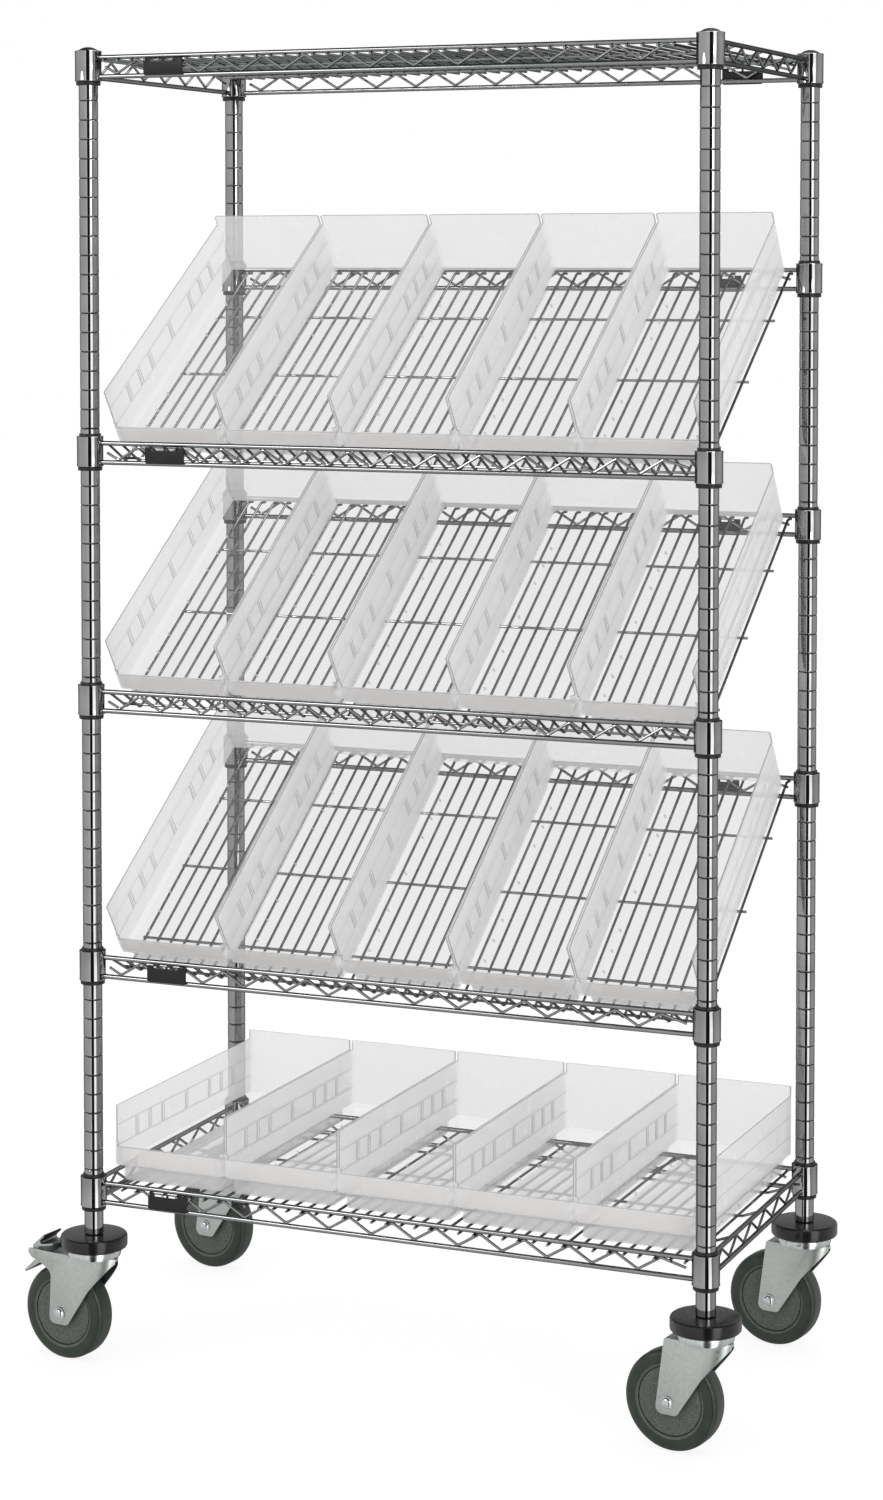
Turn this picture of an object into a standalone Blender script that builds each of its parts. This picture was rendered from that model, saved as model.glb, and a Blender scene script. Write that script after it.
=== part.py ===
"""Mobile bin cart: four grooved posts on swivel casters, two flat and three slanted wire shelves,
and twenty clear bins. Metres, +Z up, +X to the right, the low side of the slanted shelves at -Y."""

import math

import bmesh
import bpy
from mathutils import Matrix, Vector

# Overall sizes
post_spacing_x = 0.860
post_spacing_y = 0.425
clearance = 0.0003
weld = 0.00025
overrun = 0.002

# Posts
post_radius = 0.0127
post_foot_gap = 0.0005
post_foot_show = 0.0341
post_set_down = 0.001
socket_radius = 0.0104
stem_socket_depth = 0.045
cap_socket_depth = 0.014
cap_rim = 0.0012
cap_dome = 0.0045

# Collars and the tapered split sleeves inside them
groove_pitch = 0.0254
front_steps_up = (59, 39, 26, 12, 0)
slant_steps = 9
slanted_shelves = (1, 2, 3)
collar_height = 0.040
collar_radius = 0.0175
collar_bore_top = 0.0146
collar_bore_bottom = 0.0153
sleeve_show = 0.0035

# Wires
main_wire = 0.0032
fine_wire = 0.0018
top_wire_drop = 0.009
truss_height = 0.0254
truss_pitch = 0.06065
slats_per_pitch = 3
first_trough = -0.3868
side_first_trough = -0.1800
truss_end_gap = 0.0085
nub = 0.003
trough_setback = 0.052
trough_drop = 0.026
cross_wire_shares = (0.245, 0.515, 0.78)
cross_wire_show = 0.004
slats_per_weld = 20
bends_per_weld = 13

# Bins
bins_per_shelf = 5
bin_pitch = 0.1645
bin_gap = 0.0012
bin_length = 0.408
bin_height = 0.102
bin_front_height = 0.048
bin_back_rise = 0.009
bin_wall = 0.0020
bin_step_height = 0.020
bin_step_slope = 0.003
bin_tray_side = 0.007
bin_tray_end = 0.010
bin_seat = 0.006
bottom_bin_setback = 0.022

# Label plates
plate_width = 0.057
plate_height = 0.0220
plate_drop = 0.0075
plate_thickness = 0.0022
plate_corner = 0.003
plate_slot_width = 0.018
plate_slot_height = 0.003
plate_rib = 0.0025
plate_from_post = 0.085

# Casters
wheel_radius = 0.0635
tread_half_width = 0.016
tread_flat = 0.009
rim_radius = 0.0465
hub_recess = 0.0035
boss_radius = 0.014
trail = 0.042
caster_heading = math.radians(172)
fork_gap = 0.0390
fork_sheet = 0.0028
fork_nose = 0.0445
axle_to_fork_tip = 0.016
axle_to_fork_foot = 0.0145
crown_thickness = 0.004
crown_to_wheel = 0.014
kingpin_radius = 0.006
kingpin_nut_radius = 0.010
kingpin_nut_height = 0.009
raceway_radius = 0.036
raceway_waist = 0.030
raceway_height = 0.0115
bumper_radius = 0.0447
bumper_height = 0.0178
bumper_edge = 0.0045
axle_radius = 0.005
axle_head_radius = 0.0078
axle_head_length = 0.0045

# Brake pedal
pedal_pivot_reach = 0.081
pedal_pivot_drop = 0.0055
pedal_length = 0.050
pedal_pin_radius = 0.003
pedal_side_gap = 0.001

# Counts of sides
post_sides = 8
wire_sides = 6
fine_sides = 3
wheel_sides = 16
stem_sides = 8
bumper_sides = 12
axle_sides = 8
pedal_pin_sides = 6

fork_outline_shares = (
    (0.893, 1.0),
    (1.0, 0.099),
    (0.985, 0.02),
    (0.941, 0.0),
    (0.737, 0.0),
    (0.702, 0.026),
    (0.405, 0.536),
    (0.327, 0.651),
    (0.161, 0.781),
    (0.0, 0.865),
    (0.0, 1.0),
)
brake_arm_shares = (
    (1.351, 1.0),
    (1.351, 0.938),
    (1.293, 0.88),
    (1.117, 0.812),
    (1.02, 0.76),
    (0.951, 0.667),
)
pedal_outline_shares = (
    (0.45, -0.54),
    (0.0, -0.12),
    (0.19, 0.16),
    (-0.2, 0.51),
    (-0.24, 0.466),
    (0.05, 0.206),
    (-0.5, 0.32),
    (-0.51, 0.27),
    (0.02, 0.15),
    (-0.15, -0.13),
    (-0.16, -0.22),
    (0.416, -0.586),
)

COLOURS = {
    "chrome": ((0.62, 0.63, 0.65), 0.18, 1.0),
    "dark plastic": ((0.02, 0.02, 0.022), 0.45, 0.0),
    "clear plastic": ((0.80, 0.81, 0.82), 0.15, 0.0),
    "zinc steel": ((0.55, 0.56, 0.57), 0.35, 1.0),
    "tread rubber": ((0.12, 0.13, 0.09), 0.60, 0.0),
}


def clear_scene():
    for obj in list(bpy.data.objects):
        bpy.data.objects.remove(obj, do_unlink=True)


def material(kind, owner):
    colour, roughness, metallic = COLOURS[kind]
    made = bpy.data.materials.new(kind + " " + owner)
    made.use_nodes = True
    shader = made.node_tree.nodes["Principled BSDF"]
    shader.inputs["Base Color"].default_value = (*colour, 1)
    shader.inputs["Roughness"].default_value = roughness
    shader.inputs["Metallic"].default_value = metallic
    return made


def turned(bm, profile, sides, centre=Vector(), closed=False):
    """A solid turned about the vertical line through centre. Its profile is (radius, height)
    pairs from the top down, and the flats of its sides face along X and Y."""
    start = Matrix.Rotation(math.pi / sides, 3, "Z")
    verts = [bm.verts.new(centre + start @ Vector((r, 0, z))) for r, z in profile]
    edges = [bm.edges.new(pair) for pair in zip(verts, verts[1:])]
    if closed:
        edges.append(bm.edges.new((verts[-1], verts[0])))
    made = bmesh.ops.spin(
        bm, geom=verts + edges, cent=centre, axis=(0, 0, 1), angle=math.tau, steps=sides
    )
    return made


def corner_radius(flat_radius, sides):
    """The radius of the corners of a regular outline whose flats lie at flat_radius."""
    return flat_radius / math.cos(math.pi / sides)


def wire(bm, points, radius, sides, across, turn=0.0):
    """A closed wire with mitred bends through points, which lie in a plane square to across."""
    points = [Vector(p) for p in points]
    rings = []
    for i, point in enumerate(points):
        before = (point - points[i - 1]).normalized() if i else None
        after = (points[i + 1] - point).normalized() if i + 1 < len(points) else before
        before = before or after
        along = (before + after).normalized()
        square = across.cross(along)
        stretch = 1 / along.dot(after)
        ring = []
        for side in range(sides):
            angle = turn + math.tau * side / sides
            offset = across * math.cos(angle) + square * math.sin(angle) * stretch
            ring.append(bm.verts.new(point + offset * radius))
        rings.append(ring)
    for first, second in zip(rings, rings[1:]):
        for side in range(sides):
            other = (side + 1) % sides
            bm.faces.new((first[side], first[other], second[other], second[side]))
    bm.faces.new(reversed(rings[0]))
    bm.faces.new(rings[-1])


def box(bm, low, high):
    centre = (Vector(low) + Vector(high)) / 2
    size = Vector(high) - Vector(low)
    place = Matrix.Translation(centre) @ Matrix.Diagonal((*size, 1))
    bmesh.ops.create_cube(bm, size=1, matrix=place)


def extruded(bm, outline, half_width):
    """An (along, up) outline made solid from -half_width to half_width across."""
    face = bm.faces.new([bm.verts.new((x, -half_width, z)) for x, z in outline])
    made = bmesh.ops.extrude_face_region(bm, geom=[face])
    moved = [v for v in made["geom"] if isinstance(v, bmesh.types.BMVert)]
    bmesh.ops.translate(bm, verts=moved, vec=(0, 2 * half_width, 0))


def mesh_of(bm, name):
    bmesh.ops.remove_doubles(bm, verts=bm.verts, dist=weld / 100)
    bmesh.ops.recalc_face_normals(bm, faces=bm.faces)
    mesh = bpy.data.meshes.new(name)
    bm.to_mesh(mesh)
    bm.free()
    return mesh


def shape(name, build):
    """A mesh made by build, which adds its faces to an empty bmesh."""
    bm = bmesh.new()
    build(bm)
    return mesh_of(bm, name)


def combined(base, operation, others, own_overlaps=False):
    """The mesh of base after a Boolean with each of others, with its helpers removed."""
    body = bpy.data.objects.new("body", base)
    bpy.context.scene.collection.objects.link(body)
    helpers = []
    for other in others:
        helper = bpy.data.objects.new("cutter", other)
        bpy.context.scene.collection.objects.link(helper)
        helper.hide_render = True
        helper.display_type = "WIRE"
        helpers.append(helper)
        modifier = body.modifiers.new("boolean", "BOOLEAN")
        modifier.operation = operation
        modifier.use_self = own_overlaps
        modifier.object = helper
    graph = bpy.context.evaluated_depsgraph_get()
    graph.update()
    made = bpy.data.meshes.new_from_object(body.evaluated_get(graph))
    for helper in helpers + [body]:
        bpy.data.objects.remove(helper, do_unlink=True)
    return made


def smooth(mesh, angle=math.radians(35)):
    mesh.shade_smooth()
    mesh.set_sharp_from_angle(angle=angle)
    return mesh


def place(name, mesh, kind, parent, location=(0, 0, 0), turn=Matrix.Identity(3)):
    own = mesh.copy() if mesh.users else mesh
    own.materials.clear()
    own.materials.append(material(kind, name))
    obj = bpy.data.objects.new(name, own)
    bpy.context.scene.collection.objects.link(obj)
    obj.parent = parent
    obj.matrix_local = Matrix.Translation(location) @ turn.to_4x4()
    return obj


def empty(name, parent, location=(0, 0, 0), heading=0.0):
    obj = bpy.data.objects.new(name, None)
    bpy.context.scene.collection.objects.link(obj)
    obj.parent = parent
    obj.location = location
    obj.rotation_euler.z = heading
    return obj


half_x = post_spacing_x / 2
half_y = post_spacing_y / 2
fork_top_height = 2 * wheel_radius + crown_to_wheel + crown_thickness
fork_height = fork_top_height - wheel_radius + axle_to_fork_foot
fork_length = fork_nose + trail + axle_to_fork_tip
pedal_pivot_height = fork_top_height - pedal_pivot_drop
bumper_bottom_height = fork_top_height + raceway_height
post_foot_height = bumper_bottom_height + bumper_height + post_foot_gap
slant_rise = slant_steps * groove_pitch
slat_pitch = truss_pitch / slats_per_pitch
sleeve_bottom = collar_height + sleeve_show
bottom_collar_height = post_foot_height + post_foot_show + sleeve_bottom
bore_growth = (collar_bore_bottom - collar_bore_top) / collar_height


def bore_radius(drop):
    """The collar's bore at a distance below its top; it widens downwards."""
    return collar_bore_top + bore_growth * drop


def collar_top(level, rear):
    height = bottom_collar_height + front_steps_up[level] * groove_pitch
    return height + slant_rise if rear and level in slanted_shelves else height


post_top_height = collar_top(0, False) - post_set_down

# Posts with their sleeves


def post(rear):
    """A post with blind sockets at both ends and a split sleeve at each shelf, measured from the floor."""

    def build(bm):
        r = corner_radius(post_radius, post_sides)
        socket = corner_radius(socket_radius, post_sides)
        profile = [(0, post_top_height - cap_socket_depth)]
        profile.append((socket, post_top_height - cap_socket_depth))
        profile.append((socket, post_top_height))
        profile.append((r, post_top_height))
        for level in range(len(front_steps_up)):
            top = collar_top(level, rear)
            first = top + sleeve_show if top + sleeve_show < post_top_height else top - sleeve_show
            last = top - sleeve_bottom
            upper = corner_radius(bore_radius(top - first) - clearance, post_sides)
            lower = corner_radius(bore_radius(top - last) - clearance, post_sides)
            profile += [(r, first), (upper, first), (lower, last), (r, last)]
        profile.append((r, post_foot_height))
        profile.append((socket, post_foot_height))
        profile.append((socket, post_foot_height + stem_socket_depth))
        profile.append((0, post_foot_height + stem_socket_depth))
        turned(bm, profile, post_sides)

    return smooth(shape("post", build))


def cap(bm):
    plug = corner_radius(socket_radius - clearance, post_sides)
    top = corner_radius(post_radius, post_sides)
    seat = post_top_height + clearance
    turned(
        bm,
        [
            (0, seat + cap_rim + cap_dome),
            (top * math.cos(math.radians(45)), seat + cap_rim + cap_dome * math.sin(math.radians(60))),
            (top, seat + cap_rim),
            (top, seat),
            (plug, seat),
            (plug, post_top_height - cap_socket_depth + clearance),
            (0, post_top_height - cap_socket_depth + clearance),
        ],
        post_sides,
    )


# Shelves, measured from the top of the front collars

X = Vector((1, 0, 0))
Y = Vector((0, 1, 0))
Z = Vector((0, 0, 1))
ridge_up = math.pi / 2
flat_up = 0.0
slat_lift = weld + clearance
wire_level = -top_wire_drop
main_flat = main_wire * math.cos(math.pi / wire_sides)
fine_foot = fine_wire * math.cos(math.pi / fine_sides)
trough = Vector((0, trough_setback - half_y, wire_level - trough_drop))
mat_rear = Vector((0, half_y, wire_level + slant_rise))
mat_along = (mat_rear - trough).normalized()
mat_up = X.cross(mat_along)
slope = math.atan2(mat_along.z, mat_along.y)


def collars(rises):
    def build(bm):
        outer = corner_radius(collar_radius, post_sides)
        upper = corner_radius(bore_radius(0), post_sides)
        lower = corner_radius(bore_radius(collar_height), post_sides)
        for x in (-half_x, half_x):
            for y, rise in zip((-half_y, half_y), rises):
                foot = rise - collar_height
                profile = [(upper, rise), (outer, rise), (outer, foot), (lower, foot)]
                turned(bm, profile, post_sides, Vector((x, y, 0)), closed=True)

    return shape("collars", build)


def truss(bm, start, end, first_bend, across, top_turn):
    """Two main wires from start to end and the bent wire between them. The first trough of the
    bent wire lies at the distance first_bend from the middle. Every fifth bend is welded."""
    along = (end - start).normalized()
    middle = (start + end) / 2
    reach = (end - start).length / 2
    main_reach = reach - (collar_radius + collar_bore_bottom) / 2
    for drop, turn in ((0, top_turn), (truss_height, flat_up)):
        ends = [middle + along * side * main_reach - Z * drop for side in (-1, 1)]
        wire(bm, ends, main_wire, wire_sides, across, turn)
    top_flat = main_wire if top_turn else main_flat
    tilt = math.atan2(truss_height - top_flat - main_flat - fine_wire, truss_pitch / 2)
    high = top_flat + fine_wire / math.cos(tilt)
    low = truss_height - main_flat - fine_foot / math.cos(tilt)
    limit = reach - collar_radius - truss_end_gap
    points = [middle - along * limit - Z * truss_height / 2]
    place_now = first_bend
    while place_now < limit - truss_end_gap:
        bend = len(points)
        sink = weld if bend % bends_per_weld == 1 else -clearance
        drop = low + sink if bend % 2 else high - sink
        points.append(middle + along * place_now - Z * drop)
        place_now += truss_pitch / 2
    points.append(middle + along * limit - Z * truss_height / 2)
    wire(bm, points, fine_wire, fine_sides, across, ridge_up)


def slat_places():
    count = int((half_x - collar_radius - fine_wire) / slat_pitch)
    return [(k, k * slat_pitch) for k in range(-count, count + 1)]


def slat_step(k):
    """How many small steps a slanted slat is raised: most by one, those welded to the cross
    wires under them by none, and those welded to the wire in the dip by two."""
    return {0: 0, slats_per_weld // 2: 2}.get(k % slats_per_weld, 1)


def flat_wires(bm):
    """The four trusses, the slats under the top wires and the cross wires under the slats."""
    for y in (-half_y, half_y):
        ends = Vector((-half_x, y, wire_level)), Vector((half_x, y, wire_level))
        truss(bm, *ends, first_trough, -Y, ridge_up)
    for x in (-half_x, half_x):
        ends = Vector((x, -half_y, wire_level)), Vector((x, half_y, wire_level))
        truss(bm, *ends, side_first_trough, X, flat_up)
    slat_level = wire_level - main_wire - fine_wire + weld
    end = half_y + main_wire + nub
    for k, x in slat_places():
        sag = 0 if k % slats_per_weld == 0 else slat_lift
        ends = [(x, -end, slat_level), (x, end, slat_level - sag)]
        wire(bm, ends, fine_wire, fine_sides, X, ridge_up)
    cross_level = slat_level - slat_lift - fine_foot - clearance - fine_wire
    bend_x = slat_places()[-1][1] + fine_wire
    for share in cross_wire_shares:
        y = post_spacing_y * share - half_y
        points = [(-half_x, y, wire_level), (-bend_x, y, cross_level)]
        points += [(bend_x, y, cross_level), (half_x, y, wire_level)]
        wire(bm, points, fine_wire, fine_sides, -Y, ridge_up)


def slanted_wires(bm):
    """A low front truss, a high rear truss, the slats that dip behind the front truss and then
    climb to the rear one, the cross wires under them and one that lies in the dip."""
    for y, level in ((-half_y, wire_level), (half_y, wire_level + slant_rise)):
        ends = Vector((-half_x, y, level)), Vector((half_x, y, level))
        truss(bm, *ends, first_trough, -Y, flat_up)
    front = Vector((0, -half_y, wire_level))
    for k, x in slat_places():
        lift = mat_up * slat_lift * slat_step(k)
        points = [point + X * x + lift for point in (front, trough, mat_rear)]
        wire(bm, points, fine_wire, fine_sides, X, ridge_up)
    reach = X * (slat_places()[-1][1] + fine_wire + cross_wire_show)
    for share in cross_wire_shares:
        along = (post_spacing_y * share - trough_setback) / mat_along.y
        centre = trough + mat_along * along - mat_up * (fine_foot + fine_wire - weld)
        wire(bm, [centre - reach, centre + reach], fine_wire, fine_sides, -mat_along, ridge_up)
    inwards = (mat_up + X.cross((trough - front).normalized())).normalized()
    ridge = fine_wire / inwards.dot(mat_up)
    centre = trough + mat_up * 2 * slat_lift + inwards * (ridge + fine_wire - weld)
    across = inwards.cross(X)
    wire(bm, [centre - reach, centre + reach], fine_wire, fine_sides, across, ridge_up)


def shelf(wires, rises):
    whole = combined(collars(rises), "UNION", [shape("wires", wires)], own_overlaps=True)
    return smooth(whole)


# Bins, with the origin at the front lower edge, +Y along the floor and +Z off it


def rings(bm, levels):
    """A closed body through level rectangles, each given as (left, right, front, rear, height)."""
    corners = []
    for left, right, front, rear, height in levels:
        outline = ((left, front), (right, front), (right, rear), (left, rear))
        corners.append([bm.verts.new((x, y, height)) for x, y in outline])
    for first, second in zip(corners, corners[1:]):
        for side in range(len(first)):
            other = (side + 1) % len(first)
            bm.faces.new((first[side], first[other], second[other], second[side]))
    bm.faces.new(reversed(corners[0]))
    bm.faces.new(corners[-1])


def bin_body():
    """An open bin with a stepped tray at its foot, a low front wall and a raised back edge."""
    half = (bin_pitch - bin_gap) / 2
    foot = half - bin_tray_side
    inside = half - bin_wall
    step = bin_step_height + bin_step_slope
    back = bin_length - bin_wall

    def outer(bm):
        tray = (-foot, foot, bin_tray_end, bin_length - bin_tray_end)
        upper = (-half, half, 0, bin_length)
        levels = [(*tray, 0), (*tray, bin_step_height), (*upper, step), (*upper, bin_height)]
        rings(bm, levels)

    def inner(bm):
        end = bin_tray_end + bin_wall
        tray = (bin_wall - foot, foot - bin_wall, end, bin_length - end)
        upper = (-inside, inside, bin_wall, back)
        levels = [(*tray, bin_wall), (*tray, bin_step_height + bin_wall)]
        levels += [(*upper, step + bin_wall), (*upper, bin_height + bin_back_rise + overrun)]
        rings(bm, levels)

    def notch(bm):
        low = (-inside, -overrun, bin_front_height)
        box(bm, low, (inside, bin_length / 2, bin_height + overrun))

    def back_edge(bm):
        low = (-half, back, bin_height - overrun)
        box(bm, low, (half, bin_length, bin_height + bin_back_rise))

    raised = combined(shape("outer", outer), "UNION", [shape("back", back_edge)])
    return combined(raised, "DIFFERENCE", [shape("inner", inner), shape("notch", notch)])


# Label plates, with the origin at the middle of the back, +Z up


def label_plate():
    half = plate_width / 2
    low = plate_corner - plate_height
    outline = [(-half, 0), (-half, low), (plate_corner - half, -plate_height)]
    outline += [(-x, z) for x, z in reversed(outline)]

    def slots(bm):
        for side in (-1, 1):
            near = side * plate_rib / 2
            far = side * (plate_rib / 2 + plate_slot_width)
            top = -plate_rib / 2
            low = (min(near, far), -plate_thickness, top - plate_slot_height)
            box(bm, low, (max(near, far), plate_thickness, top))

    body = shape("plate", lambda bm: extruded(bm, outline, plate_thickness / 2))
    return combined(body, "DIFFERENCE", [shape("slots", slots)])


# Casters, with the origin on the floor under the swivel, +X towards the wheel


def wheel(bm):
    """The wheel about its own centre, turned about the vertical and then laid on its side."""
    side = fork_gap / 2 - clearance
    web = tread_half_width - hub_recess
    half = [(boss_radius, side), (boss_radius, web), (rim_radius, web)]
    half += [(rim_radius + hub_recess, tread_half_width), (wheel_radius, tread_flat)]
    bore = axle_radius + clearance
    profile = [(bore, side)] + half + [(r, -y) for r, y in reversed(half)] + [(bore, -side)]
    corners = [(corner_radius(r, wheel_sides), y) for r, y in profile]
    turned(bm, corners, wheel_sides, closed=True)
    bmesh.ops.rotate(bm, verts=bm.verts, matrix=Matrix.Rotation(math.pi / 2, 3, "X"))


def cross_pin(bm, flat_radius, reach, sides):
    """A round bar along Y whose flats lie at flat_radius."""
    r = corner_radius(flat_radius, sides)
    turned(bm, [(0, reach), (r, reach), (r, -reach), (0, -reach)], sides)
    bmesh.ops.rotate(bm, verts=bm.verts, matrix=Matrix.Rotation(math.pi / 2, 3, "X"))


def outline_of(shares):
    foot = fork_top_height - fork_height
    return [(along * fork_length - fork_nose, foot + up * fork_height) for along, up in shares]


def fork(braked):
    width = fork_gap / 2 + fork_sheet
    crown = fork_top_height - crown_thickness
    reach = 2 * fork_length

    def slot(bm):
        box(bm, (-reach, -fork_gap / 2, -overrun), (reach, fork_gap / 2, crown))

    def arm_gap(bm):
        low = (fork_length - fork_nose, -fork_gap / 2, crown - overrun)
        box(bm, low, (reach, fork_gap / 2, fork_top_height + overrun))

    def kingpin_hole(bm):
        hole = corner_radius(kingpin_radius + clearance, axle_sides)
        top = fork_top_height + overrun
        foot = crown - overrun
        turned(bm, [(0, top), (hole, top), (hole, foot), (0, foot)], axle_sides)

    def axle_hole(bm):
        cross_pin(bm, axle_radius + clearance, width + overrun, axle_sides)
        bmesh.ops.translate(bm, verts=bm.verts, vec=(trail, 0, wheel_radius))

    def pedal_hole(bm):
        cross_pin(bm, pedal_pin_radius + clearance, width + overrun, pedal_pin_sides)
        place_at = (pedal_pivot_reach, 0, pedal_pivot_height)
        bmesh.ops.translate(bm, verts=bm.verts, vec=place_at)

    shares = brake_arm_shares + fork_outline_shares[1:] if braked else fork_outline_shares
    body = shape("fork", lambda bm: extruded(bm, outline_of(shares), width))
    cuts = [slot, kingpin_hole, axle_hole] + ([arm_gap, pedal_hole] if braked else [])
    return smooth(combined(body, "DIFFERENCE", [shape("cut", cut) for cut in cuts]))


def brake_pedal():
    """The folded pedal about its own pin, which runs through both arms of the fork."""
    outline = [(along * pedal_length, up * pedal_length) for along, up in pedal_outline_shares]
    half = fork_gap / 2 - pedal_side_gap
    reach = fork_gap / 2 + fork_sheet
    body = shape("pedal", lambda bm: extruded(bm, outline, half))
    pin = shape("pin", lambda bm: cross_pin(bm, pedal_pin_radius, reach, pedal_pin_sides))
    return smooth(combined(body, "UNION", [pin]))


def stem(bm):
    """The socket stem, the swivel's fixed half and the kingpin with its nut."""
    plug = socket_radius - clearance
    top = post_foot_height + stem_socket_depth - clearance
    deck = bumper_bottom_height - clearance
    foot = fork_top_height + clearance
    under = fork_top_height - crown_thickness - clearance
    profile = [(0, top), (plug, top), (plug, deck), (raceway_waist, deck), (raceway_radius, foot)]
    profile += [(kingpin_radius, foot), (kingpin_radius, under), (kingpin_nut_radius, under)]
    profile += [(kingpin_nut_radius, under - kingpin_nut_height), (0, under - kingpin_nut_height)]
    turned(bm, profile, stem_sides)


def bumper(bm):
    """The rounded ring round the stem."""
    bore = corner_radius(socket_radius + clearance, bumper_sides)
    top = bumper_bottom_height + bumper_height
    shoulder = bumper_radius - bumper_edge
    profile = [(bore, top), (shoulder - bumper_edge, top), (bumper_radius, top - bumper_edge)]
    profile += [(bumper_radius, bumper_bottom_height + bumper_edge)]
    profile += [(shoulder, bumper_bottom_height), (bore, bumper_bottom_height)]
    turned(bm, profile, bumper_sides, closed=True)


def axle(bm):
    """The bolt through fork and wheel with a round head at each end."""
    side = fork_gap / 2 + fork_sheet + clearance
    end = side + axle_head_length
    half = [(0, end), (axle_head_radius, side), (axle_radius, side)]
    turned(bm, half + [(r, -y) for r, y in reversed(half)], axle_sides)
    bmesh.ops.rotate(bm, verts=bm.verts, matrix=Matrix.Rotation(math.pi / 2, 3, "X"))


# The cart put together

clear_scene()
cart = empty("cart", None)
post_meshes = {rear: post(rear) for rear in (False, True)}
cap_mesh = smooth(shape("cap", cap))
shelf_meshes = {
    False: shelf(flat_wires, (0, 0)),
    True: shelf(slanted_wires, (0, slant_rise)),
}
bin_mesh = bin_body()
plate_mesh = label_plate()
wheel_mesh = smooth(shape("wheel", wheel))
fork_meshes = {braked: fork(braked) for braked in (False, True)}
pedal_mesh = brake_pedal()
stem_mesh = smooth(shape("stem", stem))
bumper_mesh = smooth(shape("bumper", bumper))
axle_mesh = smooth(shape("axle", axle))

for y_name, y in (("front", -half_y), ("rear", half_y)):
    for x_name, x in (("left", -half_x), ("right", half_x)):
        corner = y_name + "_" + x_name
        place("post_" + corner, post_meshes[y > 0], "chrome", cart, (x, y, 0))
        place("cap_" + corner, cap_mesh, "dark plastic", cart, (x, y, 0))
        place("stem_" + corner, stem_mesh, "zinc steel", cart, (x, y, 0))
        place("bumper_" + corner, bumper_mesh, "dark plastic", cart, (x, y, 0))
        swivel = empty("swivel_" + corner, cart, (x, y, 0), caster_heading)
        braked = corner == "front_left"
        place("fork_" + corner, fork_meshes[braked], "zinc steel", swivel)
        hub = (trail, 0, wheel_radius)
        place("wheel_" + corner, wheel_mesh, "tread rubber", swivel, hub)
        place("axle_" + corner, axle_mesh, "zinc steel", swivel, hub)
        if braked:
            pivot = (pedal_pivot_reach, 0, pedal_pivot_height)
            place("brake_pedal", pedal_mesh, "zinc steel", swivel, pivot)

shelf_names = ("top", "slanted_1", "slanted_2", "slanted_3", "bottom")
for level, name in enumerate(shelf_names):
    height = collar_top(level, False)
    slanted = level in slanted_shelves
    place("shelf_" + name, shelf_meshes[slanted], "chrome", cart, (0, 0, height))
    if name != "slanted_2":
        x = plate_from_post + plate_width / 2 - half_x
        y = -half_y - main_wire - clearance - plate_thickness / 2
        at = (x, y, height + wire_level - plate_drop)
        place("label_plate_" + name, plate_mesh, "dark plastic", cart, at)
    if level == 0:
        continue
    if slanted:
        seat = trough + mat_along * bin_seat + mat_up * (fine_wire + 2 * slat_lift + clearance)
        turn = Matrix.Rotation(slope, 3, "X")
    else:
        top = wire_level - main_wire + weld + clearance
        seat = Vector((0, bottom_bin_setback - half_y, top))
        turn = Matrix.Identity(3)
    for column in range(bins_per_shelf):
        x = (column - (bins_per_shelf - 1) / 2) * bin_pitch
        at = seat + X * x + Z * height
        place(f"bin_{level}_{column + 1}", bin_mesh, "clear plastic", cart, at, turn)

# The middle of the cart's footprint comes to the origin

bpy.context.view_layer.update()
corners = [o.matrix_world @ v.co for o in bpy.data.objects if o.type == "MESH" for v in o.data.vertices]
low = [min(corner[axis] for corner in corners) for axis in range(3)]
high = [max(corner[axis] for corner in corners) for axis in range(3)]
cart.location = (-(low[0] + high[0]) / 2, -(low[1] + high[1]) / 2, -low[2])
print("cart moved by", [round(value, 6) for value in cart.location], "size", low, high)
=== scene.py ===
# %% [markdown]
# Mobile bin cart. The real one is chrome wire shelving on four grooved posts, with three shelves
# hung on a slant so that the front bins can be seen into, and swivel casters with bumper rings.
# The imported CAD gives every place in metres. This script dresses it: it makes each visible piece
# with its real edges, bends and grooves, and lays it exactly over the solid that it stands for.

from functools import partial
from math import atan2, cos, pi, radians, sin, sqrt, tan, tau

import bmesh
import bpy
from mathutils import Matrix, Vector


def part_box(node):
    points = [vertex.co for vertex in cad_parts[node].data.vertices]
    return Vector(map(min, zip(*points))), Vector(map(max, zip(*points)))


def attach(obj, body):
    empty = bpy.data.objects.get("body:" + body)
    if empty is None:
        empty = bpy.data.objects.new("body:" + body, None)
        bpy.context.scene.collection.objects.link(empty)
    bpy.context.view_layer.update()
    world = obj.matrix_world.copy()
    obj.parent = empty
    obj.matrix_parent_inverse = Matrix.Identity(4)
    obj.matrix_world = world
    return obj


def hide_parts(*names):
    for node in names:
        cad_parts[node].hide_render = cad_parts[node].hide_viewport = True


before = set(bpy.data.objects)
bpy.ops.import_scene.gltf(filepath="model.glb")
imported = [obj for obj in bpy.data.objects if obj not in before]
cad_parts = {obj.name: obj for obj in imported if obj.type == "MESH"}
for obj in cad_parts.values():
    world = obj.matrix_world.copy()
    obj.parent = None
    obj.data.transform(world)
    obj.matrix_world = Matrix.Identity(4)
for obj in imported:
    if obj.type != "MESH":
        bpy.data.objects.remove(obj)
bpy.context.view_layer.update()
scene = bpy.context.scene

# %% [markdown]
# The sizes that pieces share are the real shelving's: 25.4 mm tube, 6.4 mm frame wire, 3.6 mm
# slats. All is worked out in the cart's own frame, whose origin is under the middle of the four
# posts, and then moved by one shift that the CAD posts give.

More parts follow.
